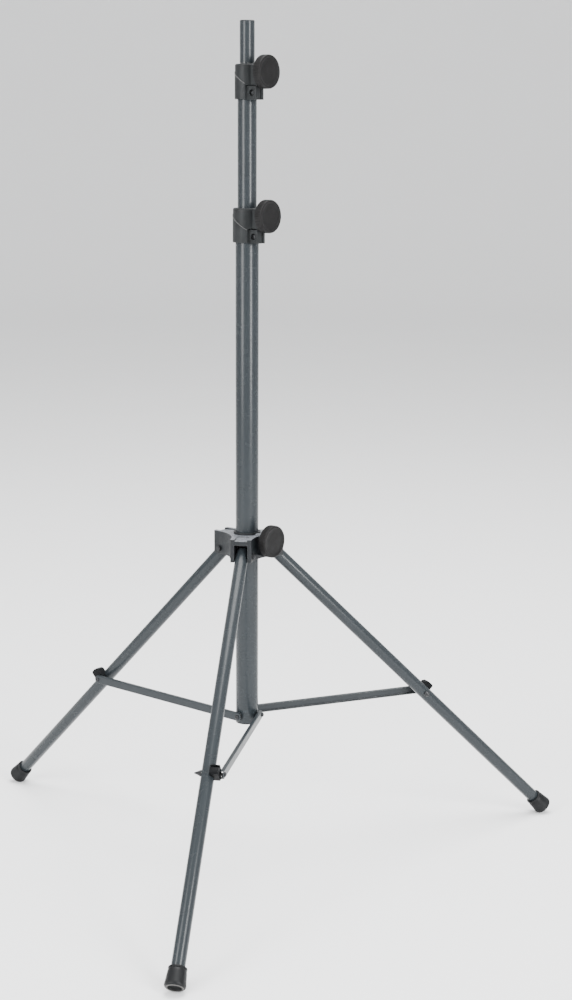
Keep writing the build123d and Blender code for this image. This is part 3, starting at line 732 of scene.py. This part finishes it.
def soft_pieces():
    """Every node that isn't replaced by a turned shape."""
    for node, width in EDGE_WIDTHS.items():
        softened(node, width)
    families = (
        (LEGS, LEG_EDGE_WIDTHS),
        (CLAMPS, CLAMP_EDGE_WIDTHS),
        (CLAMPS[:2], PINCH_EDGE_WIDTHS),
    )
    for names, widths in families:
        for name in names:
            for piece, width in widths.items():
                softened(f"{name}_{piece}", width)


# ---- Studio ----

FLOOR_FLAT = 9.0
FLOOR_SWEEP = 3.0
FLOOR_HEIGHT = 5.0
FLOOR_ARC_STEPS = 12
WORLD_STRENGTH = 1.2

# Each light: name, place, the point it faces, size and power in watts.
UPPER_MAST = (0, 0, 1.0)
LIGHTS = (
    ("key", (-2.1, -2.8, 1.9), UPPER_MAST, (1.3, 2.8), 165),
    ("strip", (2.75, -2.25, 1.8), UPPER_MAST, (0.45, 2.8), 210),
    ("top", (0.3, 0.5, 4.2), (0, 0, 0), (3.0, 3.0), 330),
)

# Angles in degrees, but the roll in radians, and the lens in millimetres.
CAMERA_TURN = 10.39
CAMERA_YAW = 1.173
CAMERA_PITCH = 10.81
CAMERA_ROLL = 0.0042
CAMERA_PLACE = (0, -2.9376, 1.1325)
CAMERA_LENS = 69.7
CAMERA_SENSOR = 36


def studio_floor():
    """A round pale floor whose far rim sweeps up, so that no horizon shows from any side."""
    outline = [(0, 0), (FLOOR_FLAT, 0)]
    outline += arc((FLOOR_FLAT, FLOOR_SWEEP), FLOOR_SWEEP, -90, 0, FLOOR_ARC_STEPS)[1:]
    outline += [(FLOOR_FLAT + FLOOR_SWEEP, FLOOR_HEIGHT)]
    mesh = lathe("floor", outline, Matrix.Translation((0, 0, CAD_LOW.z)))
    mesh.shade_smooth()
    show("floor", mesh, backdrop_material())


def soft_light(name, place_at, aim, size, power):
    """A rectangular lamp that faces a point."""
    light = bpy.data.lights.new(name, "AREA")
    light.shape = "RECTANGLE"
    light.size, light.size_y = size
    light.energy = power
    lamp = bpy.data.objects.new(name, light)
    lamp.location = place_at
    lamp.rotation_euler = (Vector(aim) - Vector(place_at)).to_track_quat("-Z", "Y").to_euler()
    bpy.context.scene.collection.objects.link(lamp)


def studio_light():
    """White surroundings and the soft lamps."""
    world = bpy.data.worlds.new("studio")
    world.use_nodes = True
    background = world.node_tree.nodes["Background"]
    background.inputs["Color"].default_value = (1.0, 1.0, 1.0, 1.0)
    background.inputs["Strength"].default_value = WORLD_STRENGTH
    bpy.context.scene.world = world
    for light in LIGHTS:
        soft_light(*light)


def front_camera():
    """The camera: looking down on the stand from a little off its front leg."""
    turn = Matrix.Rotation(math.radians(CAMERA_TURN), 3, "Z")
    yaw, pitch, roll = math.radians(CAMERA_YAW), math.radians(CAMERA_PITCH), CAMERA_ROLL
    level = math.cos(pitch)
    forward = Vector((math.sin(yaw) * level, math.cos(yaw) * level, -math.sin(pitch)))
    right = Vector((math.cos(yaw), -math.sin(yaw), 0))
    up = right.cross(forward)
    rolled_right = right * math.cos(roll) + up * math.sin(roll)
    rolled_up = up * math.cos(roll) - right * math.sin(roll)
    columns = (turn @ rolled_right, turn @ rolled_up, turn @ -forward)
    camera_data = bpy.data.cameras.new("camera")
    camera_data.lens = CAMERA_LENS
    camera_data.sensor_width = CAMERA_SENSOR
    camera = bpy.data.objects.new("camera", camera_data)
    matrix = Matrix(columns).transposed().to_4x4()
    matrix.translation = turn @ Vector(CAMERA_PLACE)
    camera.matrix_world = matrix
    bpy.context.scene.collection.objects.link(camera)
    bpy.context.scene.camera = camera


for tube_node in ("low_tube", "mid_tube"):
    mast_tube(tube_node)
for leg_name in LEGS:
    leg_tube(leg_name)
    foot(leg_name)
for clamp_name in CLAMPS:
    knob(clamp_name)
for clamp_name, seam_start in SEAM_STARTS.items():
    seam_bead(clamp_name, seam_start)
soft_pieces()
studio_floor()
studio_light()
front_camera()
